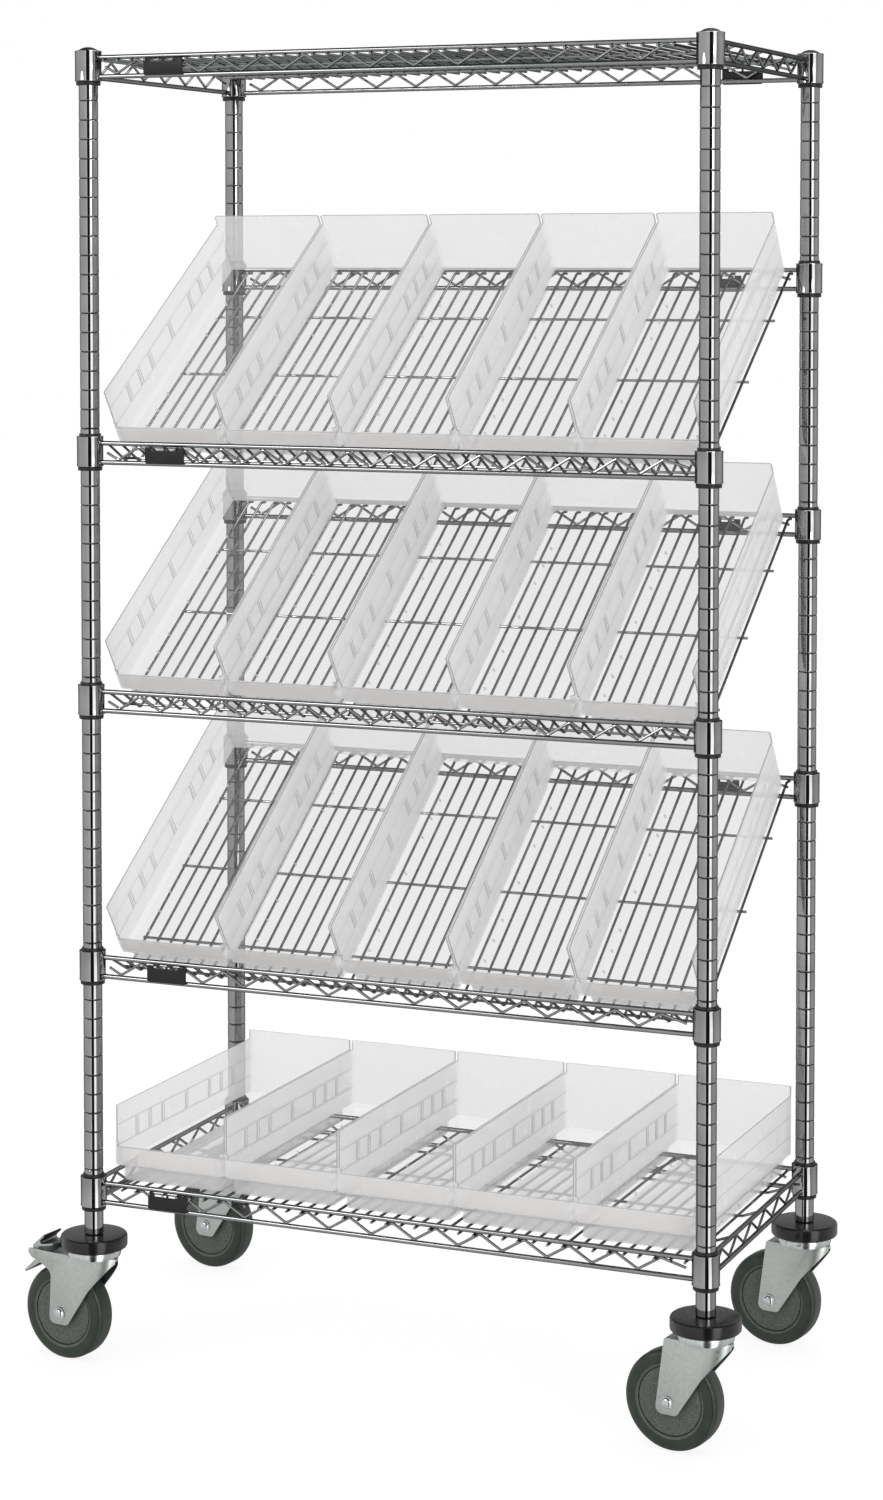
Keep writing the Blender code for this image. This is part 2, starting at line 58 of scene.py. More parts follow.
# %% Shared sizes
half_x, half_y = 0.43, 0.2125
post_radius, groove_pitch = 0.0127, 0.0254
main_wire, fine_wire = 0.0032, 0.0018
truss_height, truss_pitch = 0.0254, 0.06065
slat_pitch = truss_pitch / 3
collar_radius = 0.0175
wire_level = -0.009
levels = {"top": 1.751, "slanted_1": 1.243, "slanted_2": 0.9128, "slanted_3": 0.5572, "bottom": 0.2524}
slant_rise = 9 * groove_pitch
rises = {name: slant_rise if name.startswith("slanted") else 0 for name in levels}
low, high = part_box("post_front_left")
cart_shift = Vector(((low[0] + high[0]) / 2 + half_x, (low[1] + high[1]) / 2 + half_y, 0))
X, Z = Vector((1, 0, 0)), Vector((0, 0, 1))
corners = {"front_left": (-half_x, -half_y), "front_right": (half_x, -half_y)}
corners |= {"rear_left": (-half_x, half_y), "rear_right": (half_x, half_y)}
print("cart shift", tuple(round(v, 6) for v in cart_shift))

# %% [markdown]
# A colour picked from a screen is an sRGB value, and a shader wants linear light, so one function
# turns hex to linear. One more adds a node with its settings, its values and its links. Small ones
# make what nearly every material here has: two mixed tones, a wandering roughness and a grain. The
# last one puts them together into an opaque material.

# %% Helpers for materials


def linear(hex_colour):
    parts = [int(hex_colour[i : i + 2], 16) / 255 for i in (1, 3, 5)]
    return (*[p / 12.92 if p <= 0.04045 else ((p + 0.055) / 1.055) ** 2.4 for p in parts], 1.0)


def add(tree, kind, links=(), values=(), **settings):
    """A node with settings, then {socket: value}, then {socket: node or (node, output)}."""
    node = tree.nodes.new(kind)
    for name, value in settings.items():
        setattr(node, name, value)
    for name, value in dict(values).items():
        node.inputs[name].default_value = value
    for name, source in dict(links).items():
        other, output = source if isinstance(source, tuple) else (source, 0)
        tree.links.new(other.outputs[output], node.inputs[name])
    return node


def maths(tree, operation, first, second):
    """A Math node on two numbers or node outputs."""
    given = {0: first, 1: second}
    values = {k: v for k, v in given.items() if isinstance(v, (int, float))}
    links = {k: v for k, v in given.items() if k not in values}
    return add(tree, "ShaderNodeMath", links, values, operation=operation)


def new_material(name):
    made = bpy.data.materials.new(name)
    made.use_nodes = True
    made.node_tree.nodes.clear()
    return made, made.node_tree


def finish_material(tree, shader):
    add(tree, "ShaderNodeOutputMaterial", {"Surface": shader})


def noise_at(tree, here, scale, detail=2.0):
    """Noise over the object's own metres, with scale patches to a metre."""
    values = {"Scale": scale, "Detail": detail}
    return add(tree, "ShaderNodeTexNoise", {"Vector": (here, "Object")}, values)


def two_tones(tree, here, tones, scale, low, high, detail):
    """A soft noise, and the ramp by which it mixes two hex colours."""
    noise = noise_at(tree, here, scale, detail)
    ramp = add(tree, "ShaderNodeValToRGB", {"Fac": (noise, "Fac")})
    for element, place, tone in zip(ramp.color_ramp.elements, (low, high), tones):
        element.position, element.color = place, linear(tone)
    return noise, ramp


def wandering(tree, noise, low, high):
    """A roughness that wanders between low and high with the noise."""
    limits = {"From Min": 0.3, "From Max": 0.7, "To Min": low, "To Max": high}
    return add(tree, "ShaderNodeMapRange", {"Value": (noise, "Fac")}, limits)


def grained(tree, noise, strength, distance):
    """The bump of a fine noise."""
    values = {"Strength": strength, "Distance": distance}
    return add(tree, "ShaderNodeBump", {"Height": (noise, "Fac")}, values)


def solid(name, tones, patches, rough, grain, values):
    """Two tones in patches (scale, low, high, detail), a roughness between two limits, and a
    grain (scale, strength, distance)."""
    made, tree = new_material(name)
    here = add(tree, "ShaderNodeTexCoord")
    noise, mixed = two_tones(tree, here, tones, *patches)
    fine = grained(tree, noise_at(tree, here, grain[0]), *grain[1:])
    links = {"Base Color": mixed, "Roughness": wandering(tree, noise, *rough), "Normal": fine}
    finish_material(tree, add(tree, "ShaderNodeBsdfPrincipled", links, values))
    return made


# %% [markdown]
# Chrome plating on drawn steel wire and tube. It mirrors what is around it, so the colour is a
# plain grey and the roughness stays low. Drawing leaves faint streaks a few tenths of a
# millimetre wide, and handling leaves duller patches of some centimetres, so the roughness wanders.

# %% Chrome


def chrome(name, first, second, dull):
    patches, streaks = (28.0, 0.3, 0.75, 3.0), (900.0, 0.03, 0.0002)
    values = {"Metallic": 1.0, "Specular Tint": linear("#8E8F92")}
    return solid(name, (first, second), patches, (dull, dull + 0.06), streaks, values)


chrome_wire = chrome("chrome plated drawn wire", "#858686", "#949595", 0.08)
chrome_tube = chrome("chrome plated rolled tube", "#8B8B8B", "#9A9A99", 0.03)
# A dark chrome for the faces inside the rolled grooves: painted shade in the recesses
chrome_groove = chrome("painted shade in the rolled grooves", "#2E2F30", "#3B3C3D", 0.25)
print("chrome", chrome_wire.name)

# %% [markdown]
# Bright zinc plating on pressed steel is softer than chrome: a pale cool grey, satin, and slightly
# mottled where the sheet was drawn. The mottle is about 4 mm across and the pickled grain under
# it about half a millimetre.

# %% Zinc


def zinc(name, first, second, smooth, dull):
    mottle, grain = (240.0, 0.32, 0.68, 4.0), (1800.0, 0.05, 0.0002)
    return solid(name, (first, second), mottle, (smooth, dull), grain, {"Metallic": 1.0})


zinc_steel = zinc("bright zinc plated pressed steel", "#A9AEAA", "#B5BAB6", 0.32, 0.42)
zinc_bolt = zinc("bright zinc plated turned steel", "#B4B8B8", "#C4C8C8", 0.18, 0.26)
print("zinc", zinc_steel.name)

# %% [markdown]
# The dark pieces are moulded: the caps, sleeves and label plates in black polypropylene with a
# fine grain, the bumper in glossy vinyl that mirrors the post on it, the tread in olive rubber.
# None is a pure black, because a real black plastic still sends back a little light.

# %% Moulded plastics


def moulded(name, first, second, rough, grain_scale, grain, specular=0.5, coat=0.0):
    patches, skin = (60.0, 0.35, 0.65, 3.0), (grain_scale, grain, 0.0003)
    values = {"Specular IOR Level": specular, "IOR": 1.5}
    values |= {"Coat Weight": coat, "Coat Roughness": 0.12}
    return solid(name, (first, second), patches, (rough, rough + 0.08), skin, values)


black_plastic = moulded("black moulded polypropylene", "#141416", "#1C1C20", 0.42, 2200.0, 0.12, 0.3)
bumper_vinyl = moulded("glossy black vinyl bumper", "#0F0F11", "#161619", 0.2, 1400.0, 0.05, 0.3, 0.2)
tread = moulded("olive thermoplastic rubber tread", "#1D261D", "#263026", 0.36, 1500.0, 0.1, 0.35, 0.12)
hub_ring = moulded("grey rubber bead at the rim", "#40463F", "#4D534B", 0.45, 1500.0, 0.1)
# The hub groove is painted near black: this is painted shade in the recess
groove_black = moulded("painted shade in the hub groove", "#161817", "#1C1E1C", 0.6, 1500.0, 0.1)
print("plastics", black_plastic.name)

# %% [markdown]
# The wheel's hub is a grey polyolefin with dark and light specks about 1 mm across, moulded with
# a slightly rough skin. A fine noise with a steep ramp gives the specks, and the same noise
# raises them by a hair.

# %% Speckled hub
hub_grey, tree = new_material("speckled grey polyolefin hub")
here = add(tree, "ShaderNodeTexCoord")
specks, tones = two_tones(tree, here, ("#31342F", "#60635D"), 900.0, 0.4, 0.62, 2.0)
links = {"Base Color": tones, "Normal": grained(tree, specks, 0.35, 0.0003)}
finish_material(tree, add(tree, "ShaderNodeBsdfPrincipled", links, {"Roughness": 0.55, "IOR": 1.5}))
print("hub", hub_grey.name)

# %% [markdown]
# The bins are clear polypropylene, 2 mm thick and slightly milky. Looking through one wall the
# wires stay crisp, through two they fade, and every edge reads as a greyer line. A share of each
# surface is milky and the rest lets light straight through. That share grows at a grazing view, as
# it does on the real sheet, and is larger in the front band, which is moulded frosted. A third of
# what the milky resin scatters comes out on the far side, and its shadows are thin.

# %% Clear plastics


far_share, onward_share = 0.35, 0.2


def clear_plastic(name, hex_colour, facing, grazing, rough, steep=1.0, passes=0.9):
    """facing and grazing are the milky share head on and edge on, passes what the rest lets by."""
    made, tree = new_material(name)
    haze = noise_at(tree, add(tree, "ShaderNodeTexCoord"), 18.0, 3.0)
    angle = add(tree, "ShaderNodeLayerWeight", values={"Blend": 0.35})
    curved = maths(tree, "POWER", (angle, "Facing"), steep)
    share = add(tree, "ShaderNodeMapRange", {"Value": curved}, {"To Min": facing, "To Max": grazing})
    rays = add(tree, "ShaderNodeLightPath")
    onward = maths(tree, "MAXIMUM", (rays, "Is Shadow Ray"), (rays, "Is Diffuse Ray"))
    kept = add(tree, "ShaderNodeMapRange", {"Value": onward}, {"To Min": 1.0, "To Max": onward_share})
    share = maths(tree, "MULTIPLY", share, kept)
    colour = linear(hex_colour)
    values = {"Base Color": colour, "IOR": 1.49}
    links = {"Roughness": wandering(tree, haze, rough, rough + 0.12)}
    near_side = add(tree, "ShaderNodeBsdfPrincipled", links, values)
    far_side = add(tree, "ShaderNodeBsdfTranslucent", values={"Color": colour})
    milky = add(tree, "ShaderNodeMixShader", {1: near_side, 2: far_side}, {0: far_share})
    tint = add(tree, "ShaderNodeMapRange", {"Value": onward}, {"To Min": passes, "To Max": 1.0})
    through = add(tree, "ShaderNodeBsdfTransparent", {"Color": tint})
    finish_material(tree, add(tree, "ShaderNodeMixShader", {0: share, 1: through, 2: milky}))
    return made


bin_wall_clear = clear_plastic("clear moulded polypropylene", "#FBFAFB", 0.3, 0.73, 0.18, 1.0, 0.92)
bin_edge_clear = clear_plastic("cut edge of clear polypropylene", "#A8A8AA", 0.7, 0.85, 0.2)
bin_rib_clear = clear_plastic("raised line in clear polypropylene", "#C6C6C8", 0.4, 0.6, 0.2)
bin_front_clear = clear_plastic("frosted clear polypropylene", "#ECEAE9", 0.54, 0.8, 0.35, 1.0, 0.93)
bin_base_clear = clear_plastic("clear polypropylene base", "#E6E5E5", 0.36, 0.6, 0.25)
bin_ledge_clear = clear_plastic("clear polypropylene ledge", "#E6E5E5", 0.05, 0.14, 0.15, 1.0, 0.93)
bin_floor_clear = clear_plastic("thin clear polypropylene floor", "#EDECEC", 0.05, 6.0, 0.12, 5.0, 0.91)
scene.cycles.transparent_max_bounces = 64
print("bins", bin_wall_clear.name)

# %% [markdown]
# Every piece ends as a plain mesh that rides on a body of the frame and stands for the CAD node that
# it covers. One function does that, one turns an object with live modifiers into a plain mesh, and
# one turns a profile about an axis.

# %% Helpers for pieces


def plain_mesh(source):
    """The evaluated mesh of an object, which is then removed."""
    graph = bpy.context.evaluated_depsgraph_get()
    graph.update()
    made = bpy.data.meshes.new_from_object(source.evaluated_get(graph))
    bpy.data.objects.remove(source, do_unlink=True)
    return made


def in_scene(data, name="temporary"):
    made = bpy.data.objects.new(name, data)
    scene.collection.objects.link(made)
    return made


def as_mesh(bm, materials=()):
    """A mesh of bm, which is then freed, with these materials."""
    made = bpy.data.meshes.new("built")
    bm.to_mesh(made)
    bm.free()
    for one in materials:
        made.materials.append(one)
    return made


def mesh_from(build, materials=()):
    """A mesh that build adds to, with doubles merged and its faces turned outwards."""
    bm = bmesh.new()
    build(bm)
    bmesh.ops.remove_doubles(bm, verts=bm.verts, dist=1e-6)
    bmesh.ops.recalc_face_normals(bm, faces=bm.faces)
    return as_mesh(bm, materials)


def joined(parts):
    """One mesh out of (mesh, matrix) pairs. Every part keeps its materials."""
    materials = []
    bm = bmesh.new()
    for mesh, matrix in parts:
        for one in mesh.materials:
            if one not in materials:
                materials.append(one)
        slots = [materials.index(one) for one in mesh.materials]
        first = len(bm.faces)
        copy = mesh.copy()
        copy.transform(matrix)
        bm.from_mesh(copy)
        bm.faces.ensure_lookup_table()
        for face in bm.faces[first:]:
            face.material_index = slots[face.material_index]
        bpy.data.meshes.remove(copy)
    return as_mesh(bm, materials)


def piece(name, parts, node="", body="cart_frame", angle=30.0):
    """An object of (mesh, matrix) parts that rides on a body and stands for a CAD node."""
    mesh = joined(parts)
    made = in_scene(mesh, name)
    mesh.shade_smooth()
    mesh.set_sharp_from_angle(angle=radians(angle))
    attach(made, body)
    if node:
        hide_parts(node)
    return made


def in_cart(offset=(0, 0, 0), turn=Matrix.Identity(3)):
    return Matrix.Translation(cart_shift + Vector(offset)) @ turn.to_4x4()


def revolved(profile, sides, materials, bands=()):
    """A closed ring or a solid of revolution about Z. profile is (radius, height) pairs; bands
    lists a material number for each stretch between two of them."""

    def build(bm):
        steps = [tau * i / sides for i in range(sides)]
        rings = []
        for r, z in profile:
            ring = [(r * cos(a), r * sin(a), z) for a in steps] if r else [(0, 0, z)]
            rings.append([bm.verts.new(co) for co in ring])
        for k, (a, b) in enumerate(zip(rings, rings[1:] + rings[:1])):
            if len(a) == 1 and len(b) == 1:
                continue
            for i in range(sides):
                j = (i + 1) % sides
                ends = (a[i % len(a)], a[j % len(a)], b[j % len(b)], b[i % len(b)])
                face = bm.faces.new(list(dict.fromkeys(ends)))
                face.material_index = bands[k] if k < len(bands) else 0

    return mesh_from(build, materials)


# %% [markdown]
# The posts are rolled tube with a V groove every 25.4 mm, which is what the shelves hang from. A
# groove that repeats is a job for Geometry Nodes: a vertical line of points, four to a groove,
# whose curve radius dips at the middle two, swept with a circle into the tube.

# %% A tree for the grooved post


def new_group(name, inputs):
    """A Geometry Nodes tree with these inputs, its input node and the inputs' identifiers."""
    tree = bpy.data.node_groups.new(name, "GeometryNodeTree")
    socket = tree.interface.new_socket
    socket(name="Geometry", in_out="INPUT", socket_type="NodeSocketGeometry")
    kinds, identifiers = {int: "NodeSocketInt", float: "NodeSocketFloat"}, {}
    for label, value in inputs.items():
        kind = kinds.get(type(value), "NodeSocketMaterial")
        made = socket(name=label, in_out="INPUT", socket_type=kind)
        if value is not None:
            made.default_value = value
        identifiers[label] = made.identifier
    socket(name="Geometry", in_out="OUTPUT", socket_type="NodeSocketGeometry")
    return tree, add(tree, "NodeGroupInput"), identifiers


def finish_group(tree, given, geometry):
    """The end that both trees share: real geometry in its material."""
    real = add(tree, "GeometryNodeRealizeInstances", {"Geometry": geometry})
    links = {"Geometry": real, "Material": (given, "Material")}
    add(tree, "NodeGroupOutput", {"Geometry": add(tree, "GeometryNodeSetMaterial", links)})


def choice(tree, test, if_true, if_false):
    links = {"Switch": test, "True": if_true, "False": if_false}
    return add(tree, "GeometryNodeSwitch", links, input_type="FLOAT")


end_step, end_chamfer = 0.0012, 0.0009
post_values = {"Grooves": 59, "Pitch": groove_pitch, "First groove": 0.2629, "Half width": 0.0009}
post_values |= {"Depth": 0.0006, "Radius": post_radius, "Foot": 0.1748, "Top": 1.750}
post_values |= {"Sides": 40, "Material": None}
post_tree, given, post_inputs = new_group("grooved post", post_values)
node, calc = partial(add, post_tree), partial(maths, post_tree)
points_wanted = calc("MULTIPLY", (given, "Grooves"), 4)
with_ends = calc("ADD", points_wanted, 4)
line = node("GeometryNodeMeshLine", {"Count": with_ends}, {"Offset": (0, 0, 0.001)})

# Which groove a point belongs to, and how high that puts it
index = node("GeometryNodeInputIndex")
step = calc("SUBTRACT", index, 2)
groove = calc("FLOOR", calc("DIVIDE", step, 4), 0)
point = calc("SUBTRACT", step, calc("MULTIPLY", groove, 4))
offset = calc("SUBTRACT", point, 1.5)
across = calc("MULTIPLY", offset, (given, "Half width"))
groove_height = calc("MULTIPLY", groove, (given, "Pitch"))
from_foot = calc("ADD", groove_height, (given, "First groove"))
height = calc("ADD", from_foot, across)

# The two points at either end
from_top = calc("SUBTRACT", index, points_wanted)
is_first = calc("LESS_THAN", index, 1.5)
is_last = calc("GREATER_THAN", from_top, 1.5)
foot_height = calc("ADD", calc("MULTIPLY", index, end_step), (given, "Foot"))
last_step = calc("MULTIPLY", calc("SUBTRACT", from_top, 3), end_step)
top_height = calc("ADD", last_step, (given, "Top"))
placed = choice(post_tree, is_last, top_height, choice(post_tree, is_first, foot_height, height))
place = node("ShaderNodeCombineXYZ", {"Z": placed})
moved = node("GeometryNodeSetPosition", {"Geometry": line, "Position": place})
curve = node("GeometryNodeMeshToCurve", {"Mesh": moved})

# The radius dips at the middle two points of a groove and at the very ends
middle = calc("COMPARE", offset, 0)
middle.inputs[2].default_value = 0.6
in_groove = calc("SUBTRACT", middle, calc("MAXIMUM", is_first, is_last))
dip = calc("MULTIPLY", calc("MAXIMUM", in_groove, 0), (given, "Depth"))
first_point = calc("LESS_THAN", index, 0.5)
last_point = calc("GREATER_THAN", from_top, 2.5)
chamfer = calc("MULTIPLY", calc("ADD", first_point, last_point), end_chamfer)
radius = calc("SUBTRACT", (given, "Radius"), calc("ADD", dip, chamfer))
sized = node("GeometryNodeSetCurveRadius", {"Curve": curve, "Radius": radius})
links = {"Resolution": (given, "Sides")}
circle = node("GeometryNodeCurvePrimitiveCircle", links, {"Radius": 1.0})
links = {"Curve": sized, "Profile Curve": circle, "Scale": node("GeometryNodeInputRadius")}
finish_group(post_tree, given, node("GeometryNodeCurveToMesh", links, {"Fill Caps": True}))
print("post tree", len(post_tree.nodes), "nodes")

# %% Make the posts


def from_tree(tree, identifiers, values, source=None):
    """The plain mesh that a Geometry Nodes tree makes with these values."""
    holder = in_scene(source or bpy.data.meshes.new("seed"))
    modifier = holder.modifiers.new("nodes", "NODES")
    modifier.node_group = tree
    for name, value in values.items():
        modifier[identifiers[name]] = value
    return plain_mesh(holder)


tube_mesh = from_tree(post_tree, post_inputs, {"Material": chrome_tube})
tube_mesh.materials.append(chrome_groove)
# Faces inside a groove take the dark chrome, which paints shade into the grooves
for face in tube_mesh.polygons:
    if face.center.to_2d().length < post_radius - 0.0005 and abs(face.normal.z) < 0.1:
        face.material_index = 1
print("post", len(tube_mesh.polygons), "faces")

# %% [markdown]
# Two tapered plastic half sleeves snap round the post at each shelf, and the collar wedges down
# onto them. Only a thin black lip shows above and below the collar. Each post is one piece with
# its five sleeves, because the CAD has them as one body.

# %% Posts with their sleeves
sleeve_profile = [(0.0129, 0.0036), (0.0141, 0.0036), (0.0144, 0.003), (0.0157, -0.0405)]
sleeve_profile += [(0.0162, -0.041), (0.0162, -0.0448), (0.0157, -0.0454), (0.0129, -0.0454)]
sleeve_mesh = revolved(sleeve_profile, 40, [black_plastic])
top_sleeve_mesh = revolved([(r, min(z, -0.0015)) for r, z in sleeve_profile], 40, [black_plastic])
for corner, (x, y) in corners.items():
    parts = [(tube_mesh, in_cart((x, y, 0)))]
    for name, top in levels.items():
        rise = rises[name] if y > 0 else 0
        sleeve = top_sleeve_mesh if name == "top" else sleeve_mesh
        parts.append((sleeve, in_cart((x, y, top + rise))))
    piece("grooved_post_" + corner, parts, "post_" + corner)
print("posts", len(corners))

# %% [markdown]
# A domed plug closes the top of each post. It is turned from a short profile, with a thin rim and
# a small round under the dome.

# %% Post caps
dome = [(0.0, 1.756), (0.004, 1.7557), (0.0078, 1.7546), (0.0105, 1.7532), (0.0123, 1.7519)]
dome += [(0.0127, 1.7512), (0.0127, 1.7505), (0.0124, 1.7503), (0.01, 1.7503)]
dome += [(0.01, 1.7365), (0.0, 1.7365)]
cap_mesh = revolved(dome, 40, [black_plastic])
for corner, (x, y) in corners.items():
    parts = [(cap_mesh, in_cart((x, y, 0)))]
    piece("post_cap_" + corner, parts, "cap_" + corner)
print("caps", len(corners))

# %% [markdown]
# All shelf wire is one idea: a path with bends, given a round section. This second tree takes the
# path as edges, rounds its corners to the bending radius of the wire, sweeps a circle along it,
# and repeats the wire at a pitch. The slats, trusses and cross wires all come from it.

# %% A tree for bent and repeated wire
wire_values = {"Wire radius": fine_wire, "Bend radius": 0.006, "Bend steps": 4, "Sides": 10}
wire_values |= {"Copies": 1, "Pitch": slat_pitch, "Material": None}
wire_tree, given, wire_inputs = new_group("bent wire", wire_values)
node, calc = partial(add, wire_tree), partial(maths, wire_tree)
path = node("GeometryNodeMeshToCurve", {"Mesh": (given, "Geometry")})
links = {"Curve": path, "Radius": (given, "Bend radius"), "Count": (given, "Bend steps")}
rounded = node("GeometryNodeFilletCurve", links, {"Limit Radius": True}, mode="POLY")
links = {"Resolution": (given, "Sides"), "Radius": (given, "Wire radius")}
links = {"Curve": rounded, "Profile Curve": node("GeometryNodeCurvePrimitiveCircle", links)}
swept = node("GeometryNodeCurveToMesh", links, {"Fill Caps": True})
gaps = calc("SUBTRACT", (given, "Copies"), 1)
span = calc("MULTIPLY", gaps, (given, "Pitch"))
start = node("ShaderNodeCombineXYZ", {"X": calc("MULTIPLY", span, -0.5)})
stride = node("ShaderNodeCombineXYZ", {"X": (given, "Pitch")})
links = {"Count": (given, "Copies"), "Start Location": start, "Offset": stride}
links = {"Points": node("GeometryNodeMeshLine", links), "Instance": swept}
finish_group(wire_tree, given, node("GeometryNodeInstanceOnPoints", links))


def wires(paths, radius, bend=0.006, copies=1, sides=10):
    """Wires along paths, each a list of points."""
    bm = bmesh.new()
    for points in paths:
        verts = [bm.verts.new(p) for p in points]
        for pair in zip(verts, verts[1:]):
            bm.edges.new(pair)
    values = {"Wire radius": radius, "Bend radius": bend, "Copies": copies, "Sides": sides}
    return from_tree(wire_tree, wire_inputs, {**values, "Material": chrome_wire}, as_mesh(bm))


print("wire tree", len(wire_tree.nodes), "nodes")

# %% [markdown]
# A truss is two straight frame wires, 25.4 mm apart, with a zigzag wire welded between them. Its
# free ends stop short of the collars. Front and rear trusses have bends every 60.65 mm. The path
# overshoots each bend a little, because rounding the corner draws the wire back.

# %% Trusses
main_stop, zigzag_stop, bend_overshoot = 0.0165, 0.0085, 0.0012


def truss(start, end, first_trough):
    """The zigzag and the two frame wires from one collar to the next, as meshes."""
    start, end = Vector(start), Vector(end)
    along = (end - start).normalized()
    middle = (start + end) / 2
    reach = (end - start).length / 2
    main_end = along * (reach - main_stop)
    ends = (middle - main_end, middle + main_end)
    mains = [[end - Z * drop for end in ends] for drop in (0, truss_height)]
    limit = reach - collar_radius - zigzag_stop
    high = main_wire + fine_wire * 0.9 - bend_overshoot
    low = truss_height - main_wire - fine_wire * 0.9 + bend_overshoot
    zigzag = [middle - along * limit - Z * truss_height / 2]
    now, down = first_trough, True
    while now < limit - zigzag_stop:
        zigzag.append(middle + along * now - Z * (low if down else high))
        now += truss_pitch / 2
        down = not down
    zigzag.append(middle + along * limit - Z * truss_height / 2)
    return wires(mains, main_wire, sides=14), wires([zigzag], fine_wire, 0.005)


# %% [markdown]
# On a flat shelf the slats run front to rear under the top frame wires, poke out by 3 mm, and lie
# on three cross wires. A slanted shelf has no side trusses: its slats start behind the low front
# wire, dip into a ledge that stops the bins from sliding off, climb at 34 degrees, and level out
# under the high rear wire. One long wire lies in the dip and three more under the climb.

# %% Shelf wires
slat_count, slat_poke, cross_poke = 41, 0.003, 0.004
trough_in, trough_drop = 0.052, 0.026
cross_shares = (0.245, 0.515, 0.78)
front_trough, side_trough = -0.3868, -0.18
slat_level = wire_level - main_wire - fine_wire
trough = Vector((0, trough_in - half_y, wire_level - trough_drop))
mat_rear = Vector((0, half_y, wire_level + slant_rise))
mat_along = (mat_rear - trough).normalized()
mat_up = X.cross(mat_along)
slope = atan2(mat_along.z, mat_along.y)
slat_end = (slat_count - 1) / 2 * slat_pitch


def collar_meshes(heights):
    """Four tapered collars with rolled lips."""
    lip = [(0.0147, 0.0), (0.0171, 0.0), (0.01775, -0.0006), (0.01785, -0.0016), (0.0175, -0.0026)]
    lip += [(0.0174, -0.0374), (0.0178, -0.0384), (0.0178, -0.0394), (0.0173, -0.04)]
    ring = revolved(lip + [(0.0154, -0.04)], 48, [chrome_tube])
    seats = [(sx * half_x, sy * half_y, rise) for sx in (-1, 1) for sy, rise in zip((-1, 1), heights)]
    return [(ring, in_cart(seat)) for seat in seats]


def flat_shelf():
    made = []
    for y in (-half_y, half_y):
        made += truss((-half_x, y, wire_level), (half_x, y, wire_level), front_trough)
    for x in (-half_x, half_x):
        made += truss((x, -half_y, wire_level), (x, half_y, wire_level), side_trough)
    end = half_y + main_wire + slat_poke
    made.append(wires([[(0, -end, slat_level), (0, end, slat_level)]], fine_wire, copies=slat_count))
    cross = slat_level - 2 * fine_wire
    bend = slat_end + fine_wire
    for share in cross_shares:
        y = 2 * half_y * share - half_y
        inner = [(-bend, y, cross), (bend, y, cross)]
        points = [(-half_x, y, wire_level), *inner, (half_x, y, wire_level)]
        made.append(wires([points], fine_wire, 0.01))
    return made


def slanted_shelf():
    made = []
    for y, level in ((-half_y, wire_level), (half_y, wire_level + slant_rise)):
        made += truss((-half_x, y, level), (half_x, y, level), front_trough)
    top = wire_level + slant_rise - main_wire - fine_wire
    knee = trough + mat_along * ((top - trough.z) / mat_along.z)
    slat = [(0, main_wire - half_y, wire_level - 0.001), trough, knee]
    slat.append((0, half_y + main_wire + slat_poke, top))
    made.append(wires([slat], fine_wire, 0.009, slat_count))
    reach = slat_end + fine_wire + cross_poke
    for share in cross_shares:
        centre = trough + mat_along * ((2 * half_y * share - trough_in) / mat_along.y)
        centre = centre - mat_up * 2 * fine_wire
        made.append(wires([[centre - X * reach, centre + X * reach]], fine_wire))
    front = Vector((0, -half_y, wire_level))
    inwards = (mat_up + X.cross((trough - front).normalized())).normalized()
    centre = trough + inwards * fine_wire * 2.1
    made.append(wires([[centre - X * reach, centre + X * reach]], fine_wire))
    return made


flat_parts, slanted_parts = flat_shelf(), slanted_shelf()
for name, top in levels.items():
    parts = [(mesh, in_cart()) for mesh in (slanted_parts if rises[name] else flat_parts)]
    parts += collar_meshes((0, rises[name]))
    lifted = [(mesh, Matrix.Translation((0, 0, top)) @ matrix) for mesh, matrix in parts]
    shelf = piece("wire_shelf_" + name, lifted, "shelf_" + name)
    print("shelf", name, len(shelf.data.polygons), "faces")

# %% [markdown]
# A small black plate hooks over the top frame wire of the front truss on every shelf but the middle
# slanted one, and the rear trusses above the bottom one have a plate at their right end. The faces
# are bare. Two slots under the top edge leave the hooks between them. The rear plates have no node
# in the CAD to stand for.

# %% Outlines with rounded corners


def rounded_outline(points, steps=4):
    """(x, y, radius) corners turned into an outline with that fillet at each corner."""
    made = []
    for i, (px, py, radius) in enumerate(points):
        here = Vector((px, py))
        before = Vector(points[i - 1][:2]) - here
        after = Vector(points[(i + 1) % len(points)][:2]) - here
        half = before.angle(after) / 2
        reach = min(radius / tan(half), before.length * 0.48, after.length * 0.48)
        radius = reach * tan(half)
        a, b = here + before.normalized() * reach, here + after.normalized() * reach
        centre = here + (before.normalized() + after.normalized()).normalized() * radius / sin(half)
        first, last = a - centre, b - centre
        turn = first.angle_signed(last)
        for k in range(steps + 1):
            spot = centre + Matrix.Rotation(-turn * k / steps, 2) @ first
            made.append((spot.x, spot.y))
    return made


def plate(outline, half_width, materials):
    """An (x, z) outline made solid from -half_width to half_width along Y."""

    def build(bm):
        face = bm.faces.new([bm.verts.new((x, -half_width, z)) for x, z in outline])
        grown = bmesh.ops.extrude_face_region(bm, geom=[face])
        moved = [v for v in grown["geom"] if isinstance(v, bmesh.types.BMVert)]
        bmesh.ops.translate(bm, verts=moved, vec=(0, 2 * half_width, 0))

    return mesh_from(build, materials)


def box_mesh(low, high, materials=()):
    centre, size = (Vector(low) + Vector(high)) / 2, Vector(high) - Vector(low)
    matrix = Matrix.Translation(centre) @ Matrix.Diagonal((*size, 1))
    return mesh_from(lambda bm: bmesh.ops.create_cube(bm, size=1, matrix=matrix), materials)


